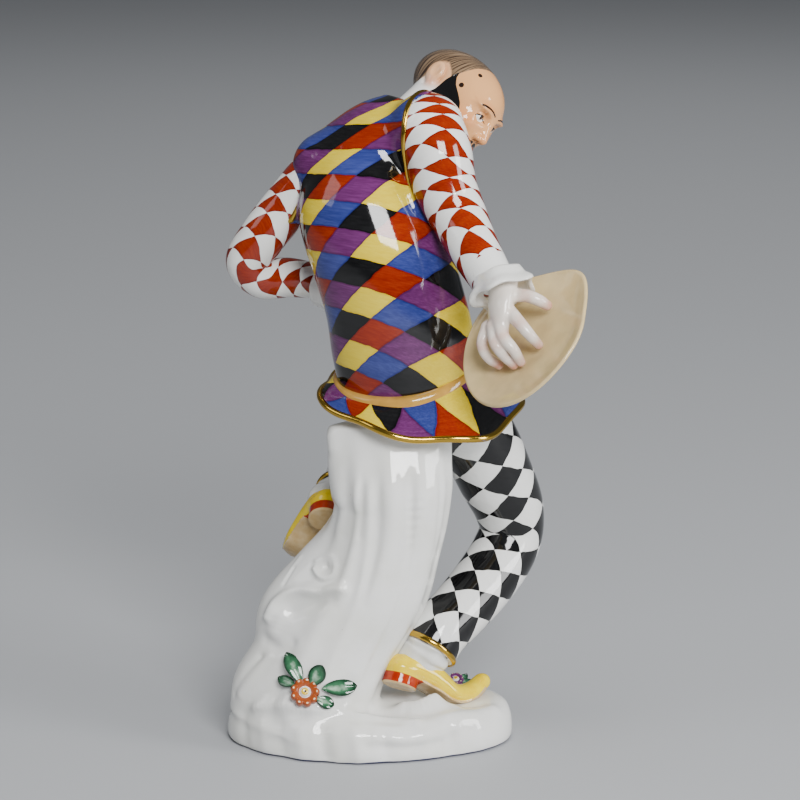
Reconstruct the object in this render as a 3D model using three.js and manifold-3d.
// A glazed porcelain figurine, 160 mm tall: a dancer in lozenge motley, seen from behind as he bows and turns his
// head over his right shoulder, with his hat in his right hand. A tree stump grows out of the mound behind him.
// Moulded, luted together and fired, it is one piece of porcelain. Millimetres, +Z up, the underside at z = 0.
// +X is to the right of a viewer behind him, and +Y is away from that viewer, the way his chest faces.
import * as THREE from 'three';
import { mergeVertices } from 'three/addons/utils/BufferGeometryUtils.js';
import { ParametricGeometry } from 'three/addons/geometries/ParametricGeometry.js';
import Module from 'manifold-3d';

const wasm = await Module();
wasm.setup();

// Driving dimensions, in millimetres
const FIGURE_HEIGHT = 151; // from the ground under his shoe to the crown of his head
const BASE_LENGTH = 67; // the mound's footprint, left to right
const BASE_WIDTH = 48; // and from back to front
const BASE_THICKNESS = 9; // from the underside to the ground that he stands on
const HAT_WIDTH = 34.4;
const HAT_DEPTH = 6.5; // from the rim to the top of the low crown on its far side
const SKIRT_FLARE = 8.2; // how far the hem of the jacket's skirt stands out past the waist
const SKIRT_THICKNESS = 1.7;
const SASH_WIDTH = 4;
const SASH_THICKNESS = 0.7;
const GILT_EDGE = 1; // the raised gilt edge of each leg of the breeches, across
const CUFF_WIDTH = 14;
const SHOE_LENGTH = 28;
const SHOE_WIDTH = 9;
const HEEL_HEIGHT = 2.6;
const HEAD_LENGTH = 24; // from the back of the skull to the brow
const FLOWER_WIDTH = 6.2;
const LEAF_THICKNESS = 1.4;

// The pose is drawn in millimetres for a figure 151 mm tall, from the ground up, and follows FIGURE_HEIGHT.
const POSE = FIGURE_HEIGHT / 151;
const GROUND = new THREE.Matrix4().makeTranslation(0, 0, BASE_THICKNESS).scale(new THREE.Vector3(POSE, POSE, POSE));
const TURN = Math.PI * 2;
const vec = (x, y, z) => new THREE.Vector3(x, y, z);
const wave = (angle, count, phase = 0) => Math.cos(angle * count + phase);

// Local axes at a point of the pose: x runs forward, z as near up as it can, and y to the left
function axes({ at, forward, up = [0, 0, 1] }) {
  const x = vec(...forward).normalize();
  const y = vec().crossVectors(vec(...up), x).normalize();
  const z = vec().crossVectors(x, y);
  return GROUND.clone().multiply(new THREE.Matrix4().makeBasis(x, y, z).setPosition(...at));
}

// A closed solid from a geometry whose seams and poles still have doubled vertices
function solid(geometry, matrix = new THREE.Matrix4()) {
  const bare = geometry.clone().applyMatrix4(matrix);
  bare.deleteAttribute('normal');
  bare.deleteAttribute('uv');
  const merged = mergeVertices(bare, 1e-4);
  const corners = merged.index.array;
  const faces = [];
  for (let i = 0; i < corners.length; i += 3) {
    const [a, b, c] = [corners[i], corners[i + 1], corners[i + 2]];
    if (a !== b && b !== c && c !== a) faces.push(a, b, c);
  }
  const build = (order) => new wasm.Manifold(new wasm.Mesh({
    numProp: 3,
    vertProperties: merged.attributes.position.array,
    triVerts: new Uint32Array(order),
  }));
  const made = build(faces);
  return made.volume() > 0 ? made : build(faces.reverse());
}

// A limb: oval rings along a smooth line through its stations, each [x, y, z, half width, half depth], with rounded
// ends. side is the direction of the half widths, blunt flattens each end, and carve(angle, t) scales the radius.
function limb(stations, {
  frame = GROUND, around = 12, along = 8, cap = 2, side = vec(1, 0, 0), blunt = [1, 1], carve = () => 1,
} = {}) {
  const line = new THREE.CatmullRomCurve3(stations.map(([x, y, z]) => vec(x, y, z)), false, 'centripetal');
  const girth = new THREE.CatmullRomCurve3(
    stations.map(([, , , wide, deep = wide], i) => vec(wide, deep, i)), false, 'centripetal');
  const rings = along + 2 * cap;
  return solid(new ParametricGeometry((u, v, target) => {
    const row = v * rings;
    const t = THREE.MathUtils.clamp((row - cap) / along, 0, 1);
    const beyond = row < cap ? row - cap : Math.max(0, row - cap - along);
    const tilt = Math.min(1, Math.abs(beyond) / cap) * TURN / 4;
    const tangent = line.getTangent(t);
    const across = side.clone().addScaledVector(tangent, -side.dot(tangent)).normalize();
    const through = vec().crossVectors(tangent, across);
    const { x: wide, y: deep } = girth.getPoint(t);
    const angle = u * TURN;
    const out = Math.cos(tilt) * carve(angle, t);
    const reach = Math.sign(beyond) * Math.sin(tilt) * blunt[beyond < 0 ? 0 : 1] * (wide + deep) / 2;
    target.copy(line.getPoint(t))
      .addScaledVector(across, wide * out * Math.cos(angle))
      .addScaledVector(through, deep * out * Math.sin(angle))
      .addScaledVector(tangent, reach);
  }, around, rings), frame);
}

// A surface swept round an axis: profile points [radius, height], stretched by shape(angle, radius, height)
function swept(profile, around, shape, frame = GROUND) {
  const steps = profile.length - 1;
  return solid(new ParametricGeometry((u, v, target) => {
    const [radius, height] = profile[Math.round(v * steps)];
    target.set(...shape((u % 1) * TURN, radius, height));
  }, around, steps), frame);
}

function ball([x, y, z], [rx, ry, rz], frame = GROUND, around = 8, high = 6) {
  return solid(new THREE.SphereGeometry(1, around, high).scale(rx, ry, rz).translate(x, y, z), frame);
}

const fuse = (pieces) => pieces.flat(2).reduce((whole, piece) => whole.add(piece));

// The mound: a low oval slab with a wavy edge and a rolling top, flat beneath
function mound() {
  const profile = [[0, 0], [0.97, 0], [1, 0.12], [1, 0.45], [0.965, 0.78], [0.88, 0.95], [0.7, 1], [0, 1]];
  const frame = new THREE.Matrix4();
  return swept(profile, 28, (angle, share, rise) => {
    const edge = share * (1 + 0.018 * wave(angle, 3, 0.6) + 0.012 * wave(angle, 5, 2.1));
    const x = edge * Math.cos(angle) * BASE_LENGTH / 2;
    const y = edge * Math.sin(angle) * BASE_WIDTH / 2;
    const roll = 1 + 0.1 * Math.sin(x * 0.23) * Math.cos(y * 0.2);
    return [x, y, rise * BASE_THICKNESS * roll];
  }, frame);
}

// The stump, its bark in shallow flutes, and the roots and rock that spread from it to the left
const TRUNK = [[-13.6, -4.5, -5, 16, 16], [-11.8, -4.2, 5, 14.4, 14.6], [-6.9, -4, 17, 14.3, 12.8], [0.4, -4, 29.5, 14, 11.6],
  [3.6, -4, 39, 13.3, 11], [5.4, -4, 47, 13.4, 11], [5.5, -4, 56, 14.3, 11.3], [5.3, -4, 63.5, 14.9, 11.6]];
const ROOTS = [
  [[-3, -1, 37, 8.5], [-10.5, -2, 29.5, 8.4], [-17.8, -2, 20.8, 8.2], [-19, -2, 13, 7.8], [-20.5, -2, 0, 9]],
  [[-14, -4, 12, 9], [-22, -4, 4.5, 9.6], [-23.8, -4, -3, 9]],
  [[-2, 6, 34, 8], [-10, 10.5, 25.2, 7.6], [-15.5, 10, 15, 8.6], [-20.5, 7.5, -2, 11.5]],
];
function stump() {
  const bark = (angle, t) => 1 + 0.03 * wave(angle, 9, 1 + t * 1.5) + 0.02 * wave(angle, 4, t * 4);
  const trunk = limb(TRUNK, { around: 24, along: 8, cap: 1, blunt: [0.05, 0.1], carve: bark });
  return [trunk, ...ROOTS.map((root) => limb(root, { around: 10, along: 5, blunt: [1, 0.1] }))];
}

// The legs, in loose breeches with a gilt edge above the ankle, and the stockings under them
const RIGHT_LEG = [[19.1, 3, 71.3, 9.8], [25.8, 8, 60.5, 9.4], [29.9, 12, 51, 9.1], [33.2, 15, 42.8, 8.4],
  [34, 16, 36.4, 7.7], [32, 14, 31.2, 7.7], [26.7, 8.5, 24.8, 7.5], [20.8, 2.6, 19, 7], [15.2, -3.4, 13.6, 6.6]];
const LEFT_LEG = [[4.5, 8, 67.3, 9], [3.6, 22, 62, 8.4], [1.6, 32, 55.5, 7.6], [-1, 32.5, 50.5, 6.9],
  [-4.4, 25.5, 46.8, 6.2], [-7.2, 16.5, 45.2, 5.6]];
const RIGHT_ANKLE = [[15.6, -3.2, 14.2, 5.4], [13.4, -5, 12, 5.3], [11.4, -5.2, 10.2, 4]];
const LEFT_ANKLE = [[-6.8, 18, 45.5, 4.6], [-8, 13.5, 44.6, 4.5], [-8.2, 9.5, 42.6, 4.1]];
function legs() {
  return [
    limb(RIGHT_LEG, { along: 11, blunt: [1, 0.12] }),
    limb(LEFT_LEG, { around: 11, along: 8, blunt: [1, 0.15] }),
    limb(RIGHT_ANKLE, { around: 9, along: 3 }),
    limb(LEFT_ANKLE, { around: 8, along: 2 }),
    giltEdge(RIGHT_LEG),
    giltEdge(LEFT_LEG),
  ];
}
function giltEdge(leg) {
  const [before, [x, y, z, radius]] = leg.slice(-2);
  const ring = new THREE.TorusGeometry(radius, GILT_EDGE / 2, 4, 12).rotateY(TURN / 4);
  return solid(ring, axes({ at: [x, y, z], forward: [x - before[0], y - before[1], z - before[2]] }));
}

// A shoe with a low heel and a curled toe, drawn along x from the back of the heel as shares of its length and
// width, the sole at z = 0
const SHOE = [[0.12, 4.8, 0.42, 2.8], [0.2, 5.2, 0.48, 3.6], [0.34, 5.2, 0.49, 3.7], [0.5, 4.2, 0.5, 3.2],
  [0.64, 2.8, 0.5, 2.6], [0.77, 3, 0.42, 2.4], [0.87, 4.2, 0.32, 2.2], [0.93, 6, 0.25, 1.8]];
function shoe(place) {
  const frame = axes(place);
  const stations = SHOE.map(([x, z, wide, high]) => [x * SHOE_LENGTH, 0, z, wide * SHOE_WIDTH, high]);
  const upper = limb(stations, { frame, around: 9, along: 9, side: vec(0, 1, 0) });
  const heel = new THREE.CylinderGeometry(0.44 * SHOE_WIDTH, 0.41 * SHOE_WIDTH, HEEL_HEIGHT + 2, 10)
    .rotateX(TURN / 4).translate(0.16 * SHOE_LENGTH, 0, HEEL_HEIGHT / 2 + 1);
  return [upper, solid(heel, frame)];
}
const RIGHT_SHOE = { at: [3.2, -8.3, 5.2], forward: [0.86, 0.42, -0.29], up: [0.25, 0.3, 0.95] };
const LEFT_SHOE = { at: [-10.3, 1.7, 43.6], forward: [-0.35, 0.62, -0.7], up: [0.56, 0.71, 0.35] };

// The body from the hips to the nape in one piece, with a yoke across the shoulders
const BODY = [[10.2, 4, 65.1, 14.5, 12.2], [9, 4, 74, 15.6, 12.8], [8.1, 2.5, 84.5, 16.7, 13.5],
  [6, 2.5, 95.2, 16.2, 13.9], [2.8, 3.5, 105.6, 16, 13.9], [-0.5, 6, 115.3, 15.5, 13.4], [0.4, 9.4, 122.6, 13.8, 12.2],
  [4.6, 12.2, 129.2, 11.4, 10.6], [9.3, 14.5, 133.8, 8.2, 8], [14, 18, 138.4, 6, 6], [17.8, 21, 142.2, 5.8, 5.8]];
const YOKE = [[-9.3, 12, 124.6, 8.6, 7.9], [-0.7, 13, 128.7, 9.1, 10.2], [5.1, 12, 131.4, 9.1, 10.7], [12, 8, 134.6, 8.3, 9.7]];
function body() {
  return [
    limb(BODY, { around: 18, along: 13, blunt: [0.3, 1] }),
    limb(YOKE, { along: 5, side: vec(0, 0, 1) }),
  ];
}

// The jacket's skirt flares under a sash, and both hang lower behind him than in front.
const WAIST = { x: 8.8, y: 3.4, z: 76.5, wide: 15.8, deep: 13.4 };
const HEM_CENTRE = { x: 12.3, y: 4, z: 71.8 };
const DIP = 0.24; // how much higher each millimetre further forward is
function skirt() {
  const profile = [[0, 0], [0.35, 0.35], [0.7, 0.15], [1, 0.06], [1, -1], [0.5, -0.9], [0, -1.2], [0, 0]];
  return swept(profile, 28, (angle, down, out) => {
    const ruffle = 0.8 * wave(angle, 7, 0.8) + 0.6 * wave(angle, 3, 2);
    const reach = down * (SKIRT_FLARE * (0.92 - 0.08 * Math.sin(angle)) + ruffle) + out * SKIRT_THICKNESS;
    const x = THREE.MathUtils.lerp(WAIST.x, HEM_CENTRE.x, down) + (WAIST.wide + reach) * Math.cos(angle);
    const y = THREE.MathUtils.lerp(WAIST.y, HEM_CENTRE.y, down) + (WAIST.deep + reach) * Math.sin(angle);
    const drop = THREE.MathUtils.lerp(WAIST.z, HEM_CENTRE.z, down) + down * 0.5 * wave(angle, 7, 2);
    return [x, y, drop + DIP * (y - WAIST.y)];
  });
}
function sash() {
  const half = SASH_WIDTH / 2;
  const profile = [[-3, -half], [0, -half], [SASH_THICKNESS, -half / 2], [SASH_THICKNESS, half / 2], [0, half], [-3, half], [-3, -half]];
  return swept(profile, 22, (angle, out, up) => {
    const x = WAIST.x + (WAIST.wide + 0.6 + out) * Math.cos(angle);
    const y = WAIST.y + (WAIST.deep + 0.6 + out) * Math.sin(angle);
    return [x, y, WAIST.z + 0.5 + up + DIP * (y - WAIST.y)];
  });
}

// The hat: a soft felt disc, its hollow face to the viewer, with a low crown on the far side. The brim comes to a
// blunt point at the top right.
const HAT = { at: [36.1, -20, 90.5], forward: [0.62, 0.17, 0.76], up: [-0.61, -0.494, 0.617] };
function hat() {
  const profile = [[0, -0.06], [0.45, -0.05], [0.8, 0.02], [0.96, 0.2], [1.02, 0.12], [0.96, -0.12],
    [0.72, -0.36], [0.52, -0.68], [0.32, -0.97], [0, -1.06]];
  return swept(profile, 22, (angle, share, rise) => {
    const point = 1.1 * Math.exp(-((Math.atan2(Math.sin(angle), Math.cos(angle)) / 0.45) ** 2));
    const reach = share * (HAT_WIDTH / 2 * (1 + 0.02 * wave(angle, 2)) + point);
    const sag = -0.9 * share * share * wave(angle, 2);
    return [reach * Math.cos(angle), reach * Math.sin(angle), rise * HAT_DEPTH + sag];
  }, axes(HAT));
}

// The arms in tight sleeves, ruffled cuffs and hands. The right hand lies on the hat and is drawn in its axes.
const RIGHT_ARM = [[13.1, 3, 136.7, 8.3], [15.2, 0, 130.7, 7.5], [17.2, -1.5, 122.8, 7.3], [20.7, -4, 116.1, 6.6],
  [23.8, -9, 110.2, 5.9], [27.7, -14, 104.2, 5.1]];
const LEFT_ARM = [[-13.1, 13, 122.1, 6.1], [-18.8, 14, 115.5, 5.8], [-24.9, 14, 107.9, 5.5], [-28.3, 15, 101.8, 5.2],
  [-25.1, 16, 97.8, 4.8], [-18.7, 18, 97.5, 4.7], [-11, 18.6, 96.3, 4]];
const RIGHT_HAND = [
  [[6.2, 4.8, 10.6, 3], [4.8, 5, 8.6, 3.4], [1.8, 4.6, 6.6, 4.6, 2.4], [-1, 4.2, 5.6, 4.2, 2]],
  [[5.5, 5, 8, 1.6], [7.4, 3.8, 6, 1.6], [8.1, 1.6, 3.6, 1.5], [9.1, -0.8, 0.9, 1.3]],
  [[4, 3, 6.4, 1.6], [2.4, 1.2, 5.2, 1.5], [1.6, -2.6, 3.2, 1.4], [0.8, -5.8, 0.6, 1.2]],
  [[1.5, 3.4, 6.4, 1.6], [-1.6, 1.6, 5.8, 1.5], [-3.6, 0.2, 4.2, 1.4], [-5.4, -4.3, 0.6, 1.2]],
  [[0, 5, 6.4, 1.6], [-3.8, 3.8, 5.4, 1.4], [-5.8, 2.2, 3.6, 1.3], [-6.9, -3.2, 0.5, 1.2]],
  [[-1, 6.4, 6, 1.5], [-5.2, 6.6, 4.8, 1.3], [-7.7, 5.9, 3, 1.3], [-8.6, 0.9, 0.4, 1.1]],
];
const LEFT_HAND = [
  [[-12, 18.8, 96.4, 3], [-7.5, 16.6, 95.8, 3, 2.4], [-2.2, 14.9, 94.7, 4.4, 2.6]],
  [[-6, 15.4, 97.6, 1.4], [-2.4, 15.6, 98.8, 1.4], [0.6, 15.8, 99.4, 1.3]],
  [[-3, 15.8, 97, 1.5], [1.5, 15.9, 97, 1.5], [5.4, 15.7, 96, 1.3]],
  [[-3, 15.8, 95, 1.5], [2, 15.9, 94.7, 1.5], [6.2, 15.7, 93.6, 1.3]],
  [[-3, 15.7, 93.2, 1.5], [1.6, 15.8, 92.4, 1.5], [5.4, 15.6, 91.2, 1.3]],
  [[-3.4, 15.5, 91.6, 1.4], [0.6, 15.6, 90.4, 1.4], [3.6, 15.5, 89.2, 1.2]],
];
function hand(parts, frame, side) {
  return parts.map((stations, i) => limb(stations, { frame, side, around: i ? 5 : 9, along: 3, cap: i ? 1 : 2 }));
}
const CUFFS = [
  { at: [30, -17, 102.6], forward: [0.3, -0.5, -0.84] },
  { at: [-10, 18.3, 96.2], forward: [0.96, -0.22, -0.16] },
];
function cuff(place) {
  const profile = [[0.5, -1.6], [0.78, -1.7], [0.86, -0.2], [1, 1.3], [0.93, 2.1], [0.72, 1.2], [0.5, 1.2], [0.5, -1.6]];
  return swept(profile, 14, (angle, share, height) => {
    const reach = share * CUFF_WIDTH / 2 * (1 + 0.05 * wave(angle, 5));
    const frill = height + (share - 0.5) * 1.6 * wave(angle, 4, 0.7);
    return [frill, reach * Math.cos(angle), reach * Math.sin(angle)];
  }, axes(place));
}
function arms() {
  return [
    limb(RIGHT_ARM, { around: 11, along: 9 }),
    limb(LEFT_ARM, { around: 10, along: 10 }),
    CUFFS.map(cuff),
    ...hand(RIGHT_HAND, axes(HAT), vec(0.45, 1, 0)),
    ...hand(LEFT_HAND, GROUND, vec(0, 0, 1)),
  ];
}

// The head, in its own axes and as shares of its length: x forward, y left, z up. Skull, jaw, beard, nose and ears
const HEAD = { at: [21.6, 22, 140.8], forward: [0.8, -0.54, -0.26], up: [0.415, 0.17, 0.894] };
function head() {
  const frame = axes(HEAD).scale(vec(HEAD_LENGTH, HEAD_LENGTH, HEAD_LENGTH));
  return [
    ball([-0.02, 0, 0.06], [0.5, 0.35, 0.345], frame, 14, 9),
    ball([0.2, 0, -0.15], [0.3, 0.27, 0.36], frame, 12, 8),
    ball([0.32, 0, -0.4], [0.14, 0.15, 0.13], frame, 7, 5),
    ball([0.5, 0, -0.14], [0.07, 0.06, 0.08], frame, 6, 5),
    ball([0.48, 0, -0.04], [0.045, 0.04, 0.13], frame, 5, 4),
    ball([-0.05, -0.35, 0], [0.08, 0.05, 0.14], frame, 7, 5),
    ball([-0.05, 0.35, 0], [0.08, 0.05, 0.14], frame, 7, 5),
  ];
}

// Applied flowers: a flat bloom among leaves, each leaf [right, up, out, half length, half width, turn]
const BLOOM = { at: [-15.3, -18.6, 8], forward: [0.05, -0.85, 0.5] };
const SMALL_BLOOM = { at: [20.8, 8.5, 1.4], forward: [0, -0.5, 0.86] };
const LEAVES = [[-2.1, 6.2, -0.3, 4, 1.7, 2.2], [-4, 1.6, -0.3, 2.1, 1.2, 2.8], [3.6, 3.8, -0.4, 2.3, 1.9, 0.8],
  [8.4, 0.8, -2, 4, 1.8, 0.35], [4.8, -2.8, -1, 2.1, 1.4, -0.3]];
const SMALL_LEAVES = [[2.2, -0.6, 0, 2, 1.1, -0.4], [1.6, 1.6, 0, 1.8, 1, 0.9]];
function spray(place, leaves, bloomWidth) {
  const frame = axes(place);
  const petals = swept([[0, -2], [0.9, -2], [1, 0.2], [0.8, 0.9], [0.45, 0.5], [0, 0.8]], 12,
    (angle, share, out) => {
      const reach = share * bloomWidth / 2 * (1 + 0.06 * wave(angle, 6));
      return [out, reach * Math.cos(angle), reach * Math.sin(angle)];
    }, frame);
  const blades = leaves.map(([right, up, out, half, wide, turn]) => {
    const blade = new THREE.SphereGeometry(1, 7, 5).scale(LEAF_THICKNESS / 2, half, wide).rotateX(turn);
    return solid(blade.translate(out, right, up), frame);
  });
  return [petals, ...blades];
}

// Slip fills the pinholes between luted parts, so only the outer surface stays.
const luted = fuse([
  mound(), stump(), legs(), shoe(RIGHT_SHOE), shoe(LEFT_SHOE), body(), skirt(), sash(), arms(), hat(), head(),
  spray(BLOOM, LEAVES, FLOWER_WIDTH), spray(SMALL_BLOOM, SMALL_LEAVES, FLOWER_WIDTH * 0.55),
]);
const figure = fuse(luted.decompose().filter((piece) => piece.volume() > 0));

function meshOf(name, made, material) {
  const { vertProperties, triVerts } = made.getMesh();
  const geometry = new THREE.BufferGeometry();
  geometry.setAttribute('position', new THREE.BufferAttribute(vertProperties, 3));
  geometry.setIndex(new THREE.BufferAttribute(triVerts, 1));
  geometry.computeVertexNormals();
  const mesh = new THREE.Mesh(geometry, material);
  mesh.name = name;
  return mesh;
}

const porcelain = new THREE.MeshStandardMaterial({ color: 0xeeece6, roughness: 0.12, metalness: 0 });
const group = new THREE.Group();
group.add(meshOf('figure', figure, porcelain));
export default group;
